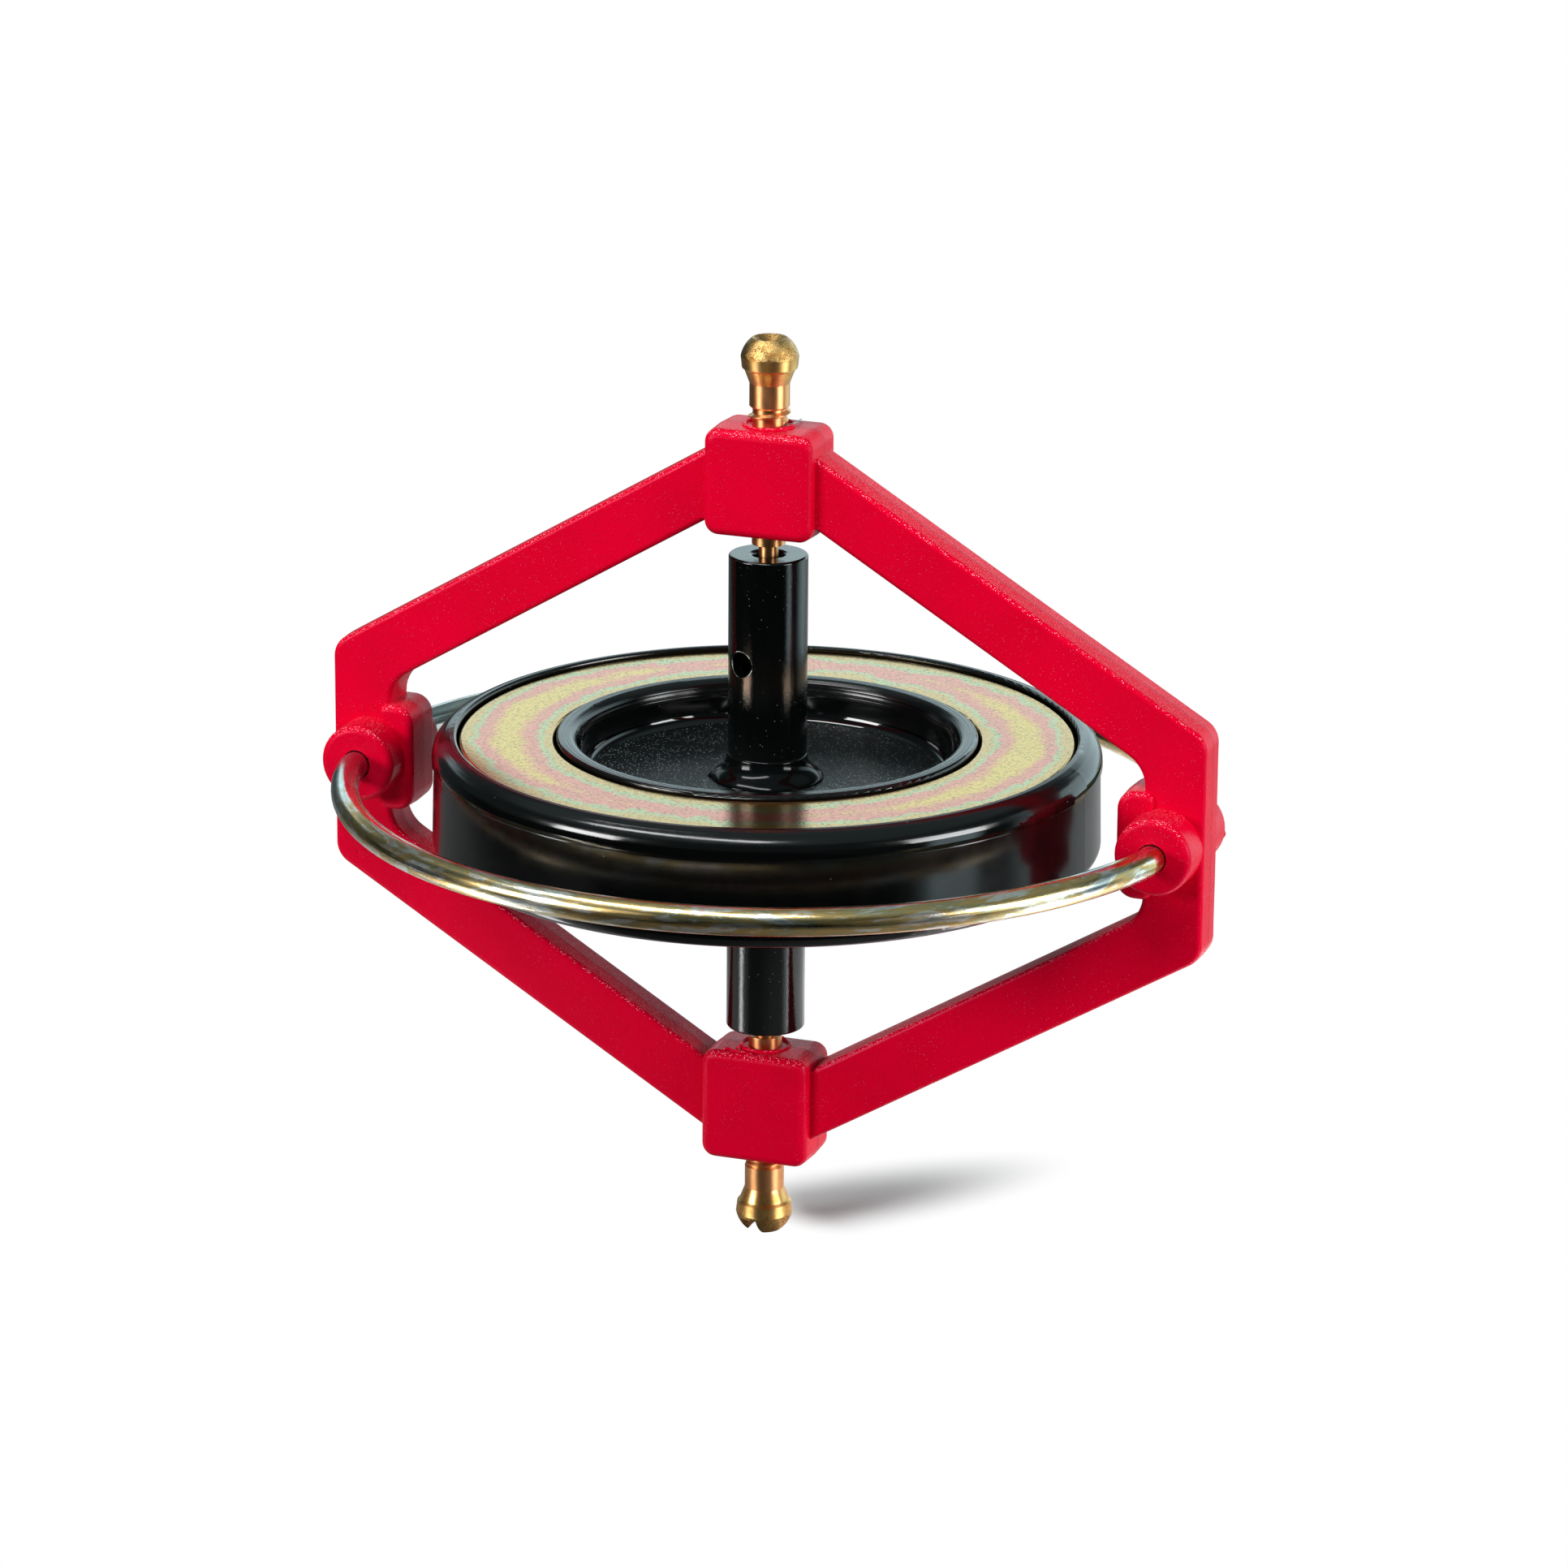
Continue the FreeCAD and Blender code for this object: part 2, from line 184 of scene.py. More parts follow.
def noise(tree, point, scale, detail=2.0, rough=0.5, warp=0.0, seed=0.0):
    inputs = {"Vector": point, "W": seed, "Scale": scale, "Detail": detail,
              "Roughness": rough, "Distortion": warp}
    return addNode(tree, "ShaderNodeTexNoise", inputs, noise_dimensions="4D").outputs["Fac"]


def turnedLines(tree, value):
    # uneven fine lines, one after another as the value grows
    inputs = {"W": value, "Scale": 1.0, "Detail": 3.0}
    return addNode(tree, "ShaderNodeTexNoise", inputs, noise_dimensions="1D").outputs["Fac"]


def specks(tree, point, scale, size, share):
    # small round dots, one in each chosen cell
    cells = addNode(tree, "ShaderNodeTexVoronoi", {"Vector": point, "Scale": scale})
    dot = between(tree, cells.outputs["Distance"], size * 0.5, size, 1, 0)
    chance = addNode(tree, "ShaderNodeSeparateColor", {"Color": cells.outputs["Color"]}).outputs[0]
    return times(tree, dot, calc(tree, "LESS_THAN", chance, share))


def localPoint(tree):
    # the piece's own coordinates in millimetres, with the flywheel's centre at zero
    coordinates = addNode(tree, "ShaderNodeTexCoord").outputs["Object"]
    moved = vectorCalc(tree, "SUBTRACT", coordinates, wheelCentre).outputs[0]
    scaled = addNode(tree, "ShaderNodeVectorMath", {0: moved, "Scale": 1 / mm}, operation="SCALE")
    return scaled.outputs[0]


def roundPoint(tree, point):
    # radius, angle and height about the spin axis
    x, y, z = splitPoint(tree, point)
    radius = calc(tree, "SQRT", plus(tree, times(tree, x, x), times(tree, y, y)))
    return radius, calc(tree, "ARCTAN2", y, x), z


def bumped(tree, shader, height, depth, before=None):
    # depth in millimetres, on top of the bump that comes before
    node = addNode(tree, "ShaderNodeBump", {"Height": height, "Distance": depth * mm})
    if before:
        tree.links.new(before, node.inputs["Normal"])
    tree.links.new(node.outputs[0], shader.inputs["Normal"])
    return node.outputs[0]


def newMaterial(name):
    material = bpy.data.materials.new(name)
    material.use_nodes = True
    tree = material.node_tree
    return material, tree, tree.nodes["Principled BSDF"]


# materials, with every length in millimetres

redFinish = {
    "colour": (223, 0, 44), "shade": (215, 0, 41), "cloud": (0.12, 3, 0.55), "shadeRange": (0.35, 0.65),
    "paintedSparkle": (250, 100, 140), "specks": (4.0, 0.20, 0.55), "patch": (0.25, 2),
    "patchRange": (0.42, 0.62, 0.10, 0.90),
    "paintedGlint": (255, 206, 222), "paintedGlints": (6.0, 0.32, 0.80), "topGlintRange": (0.78, 0.86, 0, 0.40),
    "edgeRise": (0.34, 0.50), "edgeFront": (-0.42, -0.30, 1, 0),
    "seamColour": (120, 0, 18), "seamShare": 0.75, "seamPlace": 0.12, "seamWidth": 0.09, "seamCore": 0.036,
    "index": 1.22, "gloss": (1.0, 0.40, 0.80, 1), "roughRange": (0.3, 0.7, 0.25, 0.32),
    "wave": (0.8, 2), "waveDepth": 0.003,
    "grain": (5.0, 2, 0.6), "grainDepth": 0.030, "speckHeight": 1.5, "seamHeight": -2.0,
}


def makeRedPlastic(finish):
    material, tree, shader = newMaterial("redPlastic")
    point = localPoint(tree)
    cloud = noise(tree, point, *finish["cloud"])
    shade = between(tree, cloud, *finish["shadeRange"])
    colour = blendColours(tree, shade, paint(*finish["colour"]), paint(*finish["shade"]))
    # painted highlights: pale pink dots, in patches, painted on as the sparkle of the grainy faces; the
    # same dots also raise small bumps
    dots = specks(tree, point, *finish["specks"])
    patchy = between(tree, noise(tree, point, *finish["patch"]), *finish["patchRange"])
    colour = blendColours(tree, times(tree, dots, patchy), colour, paint(*finish["paintedSparkle"]))
    # painted highlights: pale glints painted in a row along the rounded edges between a front and a top
    # face, where the lamps catch them, and fainter ones on the top faces
    normal = splitPoint(tree, addNode(tree, "ShaderNodeNewGeometry").outputs["Normal"])
    rounded = times(tree, between(tree, normal["Z"], *finish["edgeRise"]),
                    between(tree, normal["Y"], *finish["edgeFront"]))
    bright = calc(tree, "MAXIMUM", rounded, between(tree, normal["Z"], *finish["topGlintRange"]))
    paintedGlints = times(tree, specks(tree, point, *finish["paintedGlints"]), bright)
    colour = blendColours(tree, paintedGlints, colour, paint(*finish["paintedGlint"]))
    # the two halves of the mould met in one upright plane
    aside = calc(tree, "ABSOLUTE", minus(tree, splitPoint(tree, point)["Y"], finish["seamPlace"]))
    seam = between(tree, aside, finish["seamCore"], finish["seamWidth"], 1, 0)
    seamMask = times(tree, seam, finish["seamShare"])
    colour = blendColours(tree, seamMask, colour, paint(*finish["seamColour"]))
    connect(tree, colour, shader.inputs["Base Color"])
    connect(tree, between(tree, cloud, *finish["roughRange"]), shader.inputs["Roughness"])
    shader.inputs["IOR"].default_value = finish["index"]
    shader.inputs["Specular Tint"].default_value = finish["gloss"]
    wave = bumped(tree, shader, noise(tree, point, *finish["wave"]), finish["waveDepth"])
    height = raised(tree, noise(tree, point, *finish["grain"]), dots, finish["speckHeight"])
    height = raised(tree, height, seam, finish["seamHeight"])
    bumped(tree, shader, height, finish["grainDepth"], wave)
    return material


wheelFinish = {
    "colour": (5, 6, 6), "dust": (150, 155, 155), "dustSpecks": (0.9, 0.05, 0.30),
    "paintedFloorSparkle": (186, 212, 218), "floorSpecks": (3.6, 0.29, 0.66), "paintedSparkleShare": 0.8,
    "dishRadius": (17.4, 18.0, 1, 0), "dishHeight": (1.9, 2.3, 1, 0),
    "lipRadius": (18.3, 18.7), "lipHeight": (4.2, 4.8),
    "wallRadius": (31.0, 32.0), "wallHeight": (3.15, 3.25, 1, 0),
    "linesOutwards": 4.0, "linesUpwards": 3.0,
    "smear": (0.35, 3, 0.6), "smearRange": (0.35, 0.75), "roughness": 0.045, "smearRoughness": 0.095,
    "lineRoughness": 0.15, "wallRoughness": 0.15, "floorRoughness": 0.40,
    "ripple": (0.8, 2, 0.5), "rippleDepth": 0.002, "turnedDepth": 0.045,
    "grain": (4.0, 2, 0.65), "grainDepth": 0.11,
}


def makeWheelPlastic(finish):
    # the dish floor is matt and grainy, the lip and the shoulder show fine turned lines
    material, tree, shader = newMaterial("wheelPlastic")
    point = localPoint(tree)
    radius, angle, z = roundPoint(tree, point)

    def zone(radiusRange, heightRange):
        return times(tree, between(tree, radius, *finish[radiusRange]),
                     between(tree, z, *finish[heightRange]))

    dish = zone("dishRadius", "dishHeight")
    lip = zone("lipRadius", "lipHeight")
    wall = zone("wallRadius", "wallHeight")
    # painted sparkle: pale bluish specks on the dish floor stand in for the glints of the backdrop's light
    # in its grain
    paintedFloorSparkle = times(tree, dish, times(tree, specks(tree, point, *finish["floorSpecks"]),
                                        finish["paintedSparkleShare"]))
    colour = blendColours(tree, paintedFloorSparkle, paint(*finish["colour"]), paint(*finish["paintedFloorSparkle"]))
    motes = specks(tree, point, *finish["dustSpecks"])
    colour = blendColours(tree, motes, colour, paint(*finish["dust"]))
    connect(tree, colour, shader.inputs["Base Color"])
    plain = finish["roughness"]
    smear = noise(tree, point, *finish["smear"])
    rough = between(tree, smear, *finish["smearRange"], plain, finish["smearRoughness"])
    for mask, value in ((lip, "lineRoughness"), (dish, "floorRoughness"), (wall, "wallRoughness")):
        rough = raised(tree, rough, mask, finish[value] - plain)
    connect(tree, rough, shader.inputs["Roughness"])
    ripple = bumped(tree, shader, noise(tree, point, *finish["ripple"]), finish["rippleDepth"])
    lines = turnedLines(tree, plus(tree, times(tree, radius, finish["linesOutwards"]),
                                   times(tree, z, finish["linesUpwards"])))
    turned = bumped(tree, shader, times(tree, lines, lip), finish["turnedDepth"], ripple)
    grain = noise(tree, point, *finish["grain"])
    bumped(tree, shader, times(tree, grain, dish), finish["grainDepth"], turned)
    return material


ringFinish = {
    "ochre": (193, 155, 84), "green": (164, 170, 118), "pink": (206, 126, 104), "yellow": (208, 170, 78),
    "bands": ((0.00, "ochre"), (0.18, "ochre"), (0.25, "green"), (0.29, "green"),
              (0.37, "pink"), (0.48, "pink"), (0.74, "yellow"), (1.00, "yellow")),
    "inner": 21.0, "outer": 30.3, "thick": 0.70, "swing": 0.22, "richSide": 8,       # richSide in degrees
    "sways": (((0.22, 4, 0.6, 0.4, 2.0), 0.55), ((1.1, 3, 0.65, 0.0, 4.0), 0.28), ((4.5, 3, 0.7), 0.30)),
    "dirt": (120, 96, 60), "grain": (3.0, 4, 0.75), "dirtRange": (0.50, 0.62, 0, 0.60),
    "pit": (90, 60, 35), "pits": (1.1, 0.10, 0.35), "pitShare": 0.7,
    "metal": 0.93, "roughRange": (0.3, 0.7, 0.08, 0.20), "grainDepth": 0.010,
}


def makeRingPlating(finish):
    # yellow zinc plating: the film's thickness, and so its colour, follows the distance from the edges
    material, tree, shader = newMaterial("ringPlating")
    point = localPoint(tree)
    radius, angle, z = roundPoint(tree, point)
    middle = (finish["inner"] + finish["outer"]) / 2
    half = (finish["outer"] - finish["inner"]) / 2
    offMiddle = calc(tree, "ABSOLUTE", minus(tree, radius, middle))
    inwards = minus(tree, 1.0, calc(tree, "DIVIDE", offMiddle, half))
    twice = minus(tree, times(tree, angle, 2.0), math.radians(finish["richSide"] * 2))
    thick = calc(tree, "MULTIPLY_ADD", calc(tree, "COSINE", twice), finish["swing"], finish["thick"])
    film = times(tree, inwards, thick)
    for sway, amount in finish["sways"]:
        film = raised(tree, film, minus(tree, noise(tree, point, *sway), 0.5), amount)
    colour = bandColours(tree, film, finish)
    grain = noise(tree, point, *finish["grain"])
    dirt = between(tree, grain, *finish["dirtRange"])
    colour = blendColours(tree, dirt, colour, paint(*finish["dirt"]))
    pits = times(tree, specks(tree, point, *finish["pits"]), finish["pitShare"])
    colour = blendColours(tree, pits, colour, paint(*finish["pit"]))
    connect(tree, colour, shader.inputs["Base Color"])
    shader.inputs["Metallic"].default_value = finish["metal"]
    connect(tree, between(tree, grain, *finish["roughRange"]), shader.inputs["Roughness"])
    bumped(tree, shader, grain, finish["grainDepth"])
    return material


rodFinish = {
    "colour": (5, 7, 7), "dust": (190, 200, 205),
    "motes": (1.7, 0.055, 0.60), "closeMotes": (2.4, 0.06, 0.50),
    "drawnRound": 3.9, "drawnAlong": 0.12, "drawn": (1.6, 3, 0.6), "drawnDepth": 0.003,
    "roughRange": (0.35, 0.7, 0.07, 0.17), "ripple": (1.2, 2), "rippleDepth": 0.004,
    "grain": (5.0, 2, 0.7), "grainDepth": 0.013,
    "endHeight": (24.0, 24.2), "marksOutwards": 3.0, "marksRound": 1.2, "marks": (1.6, 3, 0.6),
    "marksDepth": 0.010,
}


def makeRodPlastic(finish):
    material, tree, shader = newMaterial("rodPlastic")
    point = localPoint(tree)
    radius, angle, z = roundPoint(tree, point)
    motes = calc(tree, "MAXIMUM", specks(tree, point, *finish["motes"]),
                 specks(tree, point, *finish["closeMotes"]))
    colour = blendColours(tree, motes, paint(*finish["colour"]), paint(*finish["dust"]))
    connect(tree, colour, shader.inputs["Base Color"])
    # faint streaks run along the rod
    along = joined(tree, times(tree, angle, finish["drawnRound"]),
                   times(tree, z, finish["drawnAlong"]), radius)
    drawn = noise(tree, along, *finish["drawn"])
    connect(tree, between(tree, drawn, *finish["roughRange"]), shader.inputs["Roughness"])
    last = bumped(tree, shader, noise(tree, point, *finish["ripple"]), finish["rippleDepth"])
    last = bumped(tree, shader, drawn, finish["drawnDepth"], last)
    last = bumped(tree, shader, noise(tree, point, *finish["grain"]), finish["grainDepth"], last)
    # the sawn ends keep their turning marks
    endFace = between(tree, calc(tree, "ABSOLUTE", z), *finish["endHeight"])
    across = joined(tree, times(tree, radius, finish["marksOutwards"]),
                    times(tree, angle, finish["marksRound"]), 0.0)
    marks = noise(tree, across, *finish["marks"])
    bumped(tree, shader, times(tree, marks, endFace), finish["marksDepth"], last)
    return material


beadFinish = {
    "colour": (6, 8, 8), "index": 1.28, "smear": (1.5, 2), "roughRange": (0.4, 0.7, 0.10, 0.15),
    "lump": (0.6, 2), "lumpDepth": 0.008,
}


def makeAdhesive(finish):
    material, tree, shader = newMaterial("adhesive")
    point = localPoint(tree)
    shader.inputs["Base Color"].default_value = paint(*finish["colour"])
    smear = noise(tree, point, *finish["smear"])
    connect(tree, between(tree, smear, *finish["roughRange"]), shader.inputs["Roughness"])
    shader.inputs["IOR"].default_value = finish["index"]
    bumped(tree, shader, noise(tree, point, *finish["lump"]), finish["lumpDepth"])
    return material


brassFinish = {
    "bright": (250, 204, 128), "dull": (214, 154, 78), "cloud": (0.9, 3, 0.6), "dullRange": (0.35, 0.7),
    "copper": (242, 170, 118), "copperHeight": (42.6, 41.2, 0, 0.7), "domeHeight": (44.0, 44.25),
    "pits": (7.5, 3, 0.75), "pittedDepth": 0.055, "wear": (0.7, 2), "wearRange": (0.35, 0.60, 0.5, 1),
    "dark": (92, 62, 26), "darkRange": (0.48, 0.55, 0.08, 0.95),
    "paintedGlint": (255, 236, 196), "paintedGlintRange": (0.34, 0.42, 0.5, 0),
    "roughRange": (0.3, 0.7, 0.33, 0.43), "domeRougher": -0.04,
    "lathe": 0.75, "latheTurn": 0.25, "linesUpwards": 9.0, "turnedDepth": 0.004,
}


def makeBrass(finish):
    # the dome is worn and pitted, the rest keeps its turned lines
    material, tree, shader = newMaterial("brass")
    point = localPoint(tree)
    radius, angle, z = roundPoint(tree, point)
    height = calc(tree, "ABSOLUTE", z)
    dome = between(tree, height, *finish["domeHeight"])
    cloud = noise(tree, point, *finish["cloud"])
    dull = between(tree, cloud, *finish["dullRange"])
    colour = blendColours(tree, dull, paint(*finish["bright"]), paint(*finish["dull"]))
    copper = between(tree, height, *finish["copperHeight"])
    colour = blendColours(tree, copper, colour, paint(*finish["copper"]))
    pits = noise(tree, point, *finish["pits"])
    wear = between(tree, noise(tree, point, *finish["wear"]), *finish["wearRange"])
    dark = times(tree, dome, wear, between(tree, pits, *finish["darkRange"]))
    colour = blendColours(tree, dark, colour, paint(*finish["dark"]))
    # painted highlights: pale glints painted on the dome between its pits
    paintedGlint = times(tree, dome, between(tree, pits, *finish["paintedGlintRange"]))
    colour = blendColours(tree, paintedGlint, colour, paint(*finish["paintedGlint"]))
    connect(tree, colour, shader.inputs["Base Color"])
    shader.inputs["Metallic"].default_value = 1.0
    shader.inputs["Anisotropic"].default_value = finish["lathe"]
    shader.inputs["Anisotropic Rotation"].default_value = finish["latheTurn"]
    around = addNode(tree, "ShaderNodeTangent", direction_type="RADIAL", axis="Z")
    connect(tree, around.outputs[0], shader.inputs["Tangent"])
    rough = between(tree, cloud, *finish["roughRange"])
    connect(tree, raised(tree, rough, dome, finish["domeRougher"]), shader.inputs["Roughness"])
    lines = turnedLines(tree, times(tree, z, finish["linesUpwards"]))
    turned = bumped(tree, shader, times(tree, lines, minus(tree, 1.0, dome)), finish["turnedDepth"])
    bumped(tree, shader, times(tree, pits, dome), finish["pittedDepth"], turned)
    return material


wireFinish = {
    "silver": (244, 240, 226), "gold": (222, 186, 118), "olive": (192, 182, 138), "pink": (238, 178, 144),
    "blue": (184, 202, 204), "dark": (118, 100, 68), "darkRange": (0.53, 0.66, 0, 0.38),
    "bands": ((0.36, "blue"), (0.42, "silver"), (0.47, "olive"), (0.53, "gold"), (0.59, "silver"),
              (0.68, "pink")),
    "patchRound": 9.0, "patch": (0.55, 4, 0.6, 0.4, 1.0), "leftEnd": (-40, -33, 0.8, 0),
    "streakRound": 4.0, "streakAcross": 2.4, "streak": (1.0, 4, 0.65, 0.0, 7.0), "scratchDepth": 0.008,
    "roughRange": (0.3, 0.7, 0.17, 0.32),
}


def makeWireSteel(finish):
    # plated wire, rubbed bare in streaks that run along it
    material, tree, shader = newMaterial("wireSteel")
    point = localPoint(tree)
    radius, angle, z = roundPoint(tree, point)
    along = joined(tree, times(tree, angle, finish["patchRound"]), radius, z)
    colour = bandColours(tree, noise(tree, along, *finish["patch"]), finish)
    # the plating is thin and bluish at the left ends
    leftEnd = between(tree, splitPoint(tree, point)["X"], *finish["leftEnd"])
    colour = blendColours(tree, leftEnd, colour, paint(*finish["blue"]))
    across = finish["streakAcross"]
    drawn = joined(tree, times(tree, angle, finish["streakRound"]), times(tree, radius, across),
                   times(tree, z, across))
    streak = noise(tree, drawn, *finish["streak"])
    dark = between(tree, streak, *finish["darkRange"])
    colour = blendColours(tree, dark, colour, paint(*finish["dark"]))
    connect(tree, colour, shader.inputs["Base Color"])
    shader.inputs["Metallic"].default_value = 1.0
    connect(tree, between(tree, streak, *finish["roughRange"]), shader.inputs["Roughness"])
    bumped(tree, shader, streak, finish["scratchDepth"])
    return material


cupFinish = {"colour": (150, 150, 148), "roughness": 0.25, "lines": (9.0, 2), "turnedDepth": 0.004}


def makeCupSteel(finish):
    material, tree, shader = newMaterial("cupSteel")
    radius, angle, z = roundPoint(tree, localPoint(tree))
    shader.inputs["Base Color"].default_value = paint(*finish["colour"])
    shader.inputs["Metallic"].default_value = 1.0
    shader.inputs["Roughness"].default_value = finish["roughness"]
    lines = noise(tree, joined(tree, radius, 0.0, z), *finish["lines"])
    bumped(tree, shader, lines, finish["turnedDepth"])
    return material


burrFinish = {
    "dark": (12, 14, 14), "whitenedAndGlints": (196, 202, 202), "grain": (1 / 0.12, 2, 0.6), "paleRange": (0.42, 0.55),
    "roughness": 0.35,
}


def makeBurrPlastic(finish):
    material, tree, shader = newMaterial("burrPlastic")
    grain = noise(tree, localPoint(tree), *finish["grain"])
    # pale grains on the torn rims: partly stress-whitened plastic, partly painted glints, since such thin
    # rims are too small to catch the lamps' highlights
    whitenedAndGlints = between(tree, grain, *finish["paleRange"])
    colour = blendColours(tree, whitenedAndGlints, paint(*finish["dark"]), paint(*finish["whitenedAndGlints"]))
    connect(tree, colour, shader.inputs["Base Color"])
    shader.inputs["Roughness"].default_value = finish["roughness"]
    return material


redPlastic = makeRedPlastic(redFinish)
brass = makeBrass(brassFinish)
wireSteel = makeWireSteel(wireFinish)
adhesive = makeAdhesive(beadFinish)
cupSteel = makeCupSteel(cupFinish)
burrPlastic = makeBurrPlastic(burrFinish)
finishes = {
    "frame": redPlastic, "front_guard_wire": wireSteel, "rear_guard_wire": wireSteel,
    "rotor_body": makeWheelPlastic(wheelFinish), "flywheel_ring": makeRingPlating(ringFinish),
    "spindle": makeRodPlastic(rodFinish), "spindle_bead": adhesive,
    "upper_bearing_cup": cupSteel, "lower_bearing_cup": cupSteel,
    "upper_pivot_screw": brass, "lower_pivot_screw": brass,
}
for name, material in finishes.items():
    for holder in nodes[name].material_slots:
        holder.material = material
print("nodes with a finish:", len(finishes))


# pieces that the solids leave out, in millimetres and degrees from the flywheel's centre

def addPiece(name, mesh, material, body, smooth=True):
    piece = bpy.data.objects.new(name, mesh)
    bpy.context.scene.collection.objects.link(piece)
    mesh.materials.append(material)
    mesh.polygons.foreach_set("use_smooth", [smooth] * len(mesh.polygons))
    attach(piece, body)
    return piece


def finishMesh(name, builder):
    bmesh.ops.recalc_face_normals(builder, faces=builder.faces)
    mesh = bpy.data.meshes.new(name)
    builder.to_mesh(mesh)
    builder.free()
    return mesh


def ringedMesh(name, rings, closed=False):
    # skins equal rings of points one after another, and caps the two ends unless the rings close up
    builder = bmesh.new()
    rows = [[builder.verts.new(point) for point in ring] for ring in rings]
    pairs = list(zip(rows, rows[1:] + ([rows[0]] if closed else [])))
    for row, following in pairs:
        for index in range(len(row)):
            ahead = (index + 1) % len(row)
            builder.faces.new((row[index], row[ahead], following[ahead], following[index]))
    if not closed:
        builder.faces.new(rows[0][::-1])
        builder.faces.new(rows[-1])
    return finishMesh(name, builder)


def turnAngles(steps):
    return [2 * math.pi * step / steps for step in range(steps)]


def waveSum(angle, counts, phases, shares):
    # waves that run round a ring, each with its count, its phase and its share
    return sum(share * math.sin(count * angle + phase)
               for count, phase, share in zip(counts, phases, shares))


threadShape = {
    "pitch": 0.90, "crest": 2.06, "core": 1.60, "rootHalf": 0.30, "crestHalf": 0.05, "turned": -16,
    "from": 37.60, "to": 39.05, "stepsPerTurn": 64, "fade": 0.35,                # fade in turns
}


def makeThread(name, shape, side, body):
    # one helical ridge, which runs out at both ends
    core, root, top = shape["core"], shape["rootHalf"], shape["crestHalf"]
    turns = (shape["to"] - shape["from"]) / shape["pitch"]
    steps = round(turns * shape["stepsPerTurn"])
    rings = []
    for step in range(steps + 1):
        turn = turns * step / steps
        share = min(1, min(turn, turns - turn) / shape["fade"])
        crest = core + (shape["crest"] - core) * share ** 0.5
        angle = 2 * math.pi * turn + math.radians(shape["turned"])
        height = shape["from"] + shape["pitch"] * turn
        ring = []
        for radius, rise in ((core, -root), (crest, -top), (crest, top), (core, root)):
            ring.append(wheelCentre + Vector((radius * math.cos(angle), side * radius * math.sin(angle),
                                              side * (height + rise))) * mm)
        rings.append(ring)
    addPiece(name, ringedMesh(name, rings), brass, body, smooth=False)


beadShape = {
    "profile": ((3.86, 4.40), (3.94, 3.90), (4.03, 3.50), (4.15, 3.15), (4.34, 2.84), (4.62, 2.56),
                (4.95, 2.32), (5.25, 2.08), (5.48, 1.84), (5.60, 1.62), (5.60, 1.58), (3.86, 1.58)),
    "steps": 120, "lump": 0.045, "counts": (3, 7, 16), "phases": (0.6, 2.0, 0), "shares": (1, 0.6, 0.35),
    "evenRadius": 3.88, "lumpReach": 2, "tipAt": -158, "tip": 0.45, "tipHalf": 9,
}


def makeBead(shape):
    # a hand-laid ring of adhesive, uneven and drawn out to a tip at one side
    rings = []
    for angle in turnAngles(shape["steps"]):
        lump = shape["lump"] * waveSum(angle, shape["counts"], shape["phases"], shape["shares"])
        away = math.degrees(abs(math.remainder(angle - math.radians(shape["tipAt"]), 2 * math.pi)))
        tip = shape["tip"] * max(0.0, 1 - away / shape["tipHalf"]) ** 2
        ring = []
        for radius, height in shape["profile"]:
            wide = radius + (radius - shape["evenRadius"]) / shape["lumpReach"] * (lump + tip)
            ring.append(wheelCentre + Vector((wide * math.cos(angle), wide * math.sin(angle), height)) * mm)
        rings.append(ring)
    mesh = ringedMesh("adhesiveBead", rings, closed=True)
    piece = addPiece("adhesiveBead", mesh, adhesive, "rotor")
    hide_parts("spindle_bead")


def strandMesh(name, points, radii, closed=False, sides=8):
    # a thin round strand through the points
    places = [Vector(point) for point in points]
    last = len(places) - 1
    rings = []
    up = Vector((0.1, 0.2, 1))                  # leans a little, so that no strand runs along it
    for index, place in enumerate(places):
        before = places[index - 1] if index or closed else place
        after = places[(index + 1) % len(places)] if index < last or closed else place
        way = (after - before).normalized()
        side = way.cross(up).normalized()
        up = side.cross(way).normalized()
        ring = []
        for turn in turnAngles(sides):
            out = side * math.cos(turn) + up * math.sin(turn)
            ring.append(wheelCentre + (place + out * radii[index]) * mm)
        rings.append(ring)
    return ringedMesh(name, rings, closed)


def drawPhases(chance):
    # where three waves begin, in radians
    return [chance.uniform(0, 6.28) for part in range(3)]


holeBurr = {
    "radius": 1.33, "height": 13.8, "turned": 22.7, "rod": 3.90, "thin": 0.005, "thick": 0.052,
    "steps": 72, "seed": 5, "counts": (3, 5, 11), "shares": (1, 1, 0.6),
}


def makeHoleBurr(shape):
    # the drill left a torn rim round the string hole
    phases = drawPhases(random.Random(shape["seed"]))
    turn = math.radians(shape["turned"])
    way = Vector((-math.sin(turn), -math.cos(turn), 0))
    side = Vector((math.cos(turn), -math.sin(turn), 0))
    points, radii = [], []
    for angle in turnAngles(shape["steps"]):
        across = shape["radius"] * math.cos(angle)
        place = way * math.sqrt(shape["rod"] ** 2 - across ** 2) + side * across
        points.append((place.x, place.y, shape["height"] + shape["radius"] * math.sin(angle)))
        torn = min(1, max(0, waveSum(angle, shape["counts"], phases, shape["shares"])))
        radii.append(shape["thin"] + (shape["thick"] - shape["thin"]) * torn)
    mesh = strandMesh("stringHoleBurr", points, radii, closed=True)
    addPiece("stringHoleBurr", mesh, burrPlastic, "rotor")


holeLip = {
    "heights": {"upperHoleLip": 37.27, "lowerHoleLip": -26.44},
    "radius": 2.42, "thick": 0.20, "swell": 0.28,
    "steps": 60, "seed": 9, "counts": (2, 5, 9), "shares": (1, 0.7, 0.4),
}


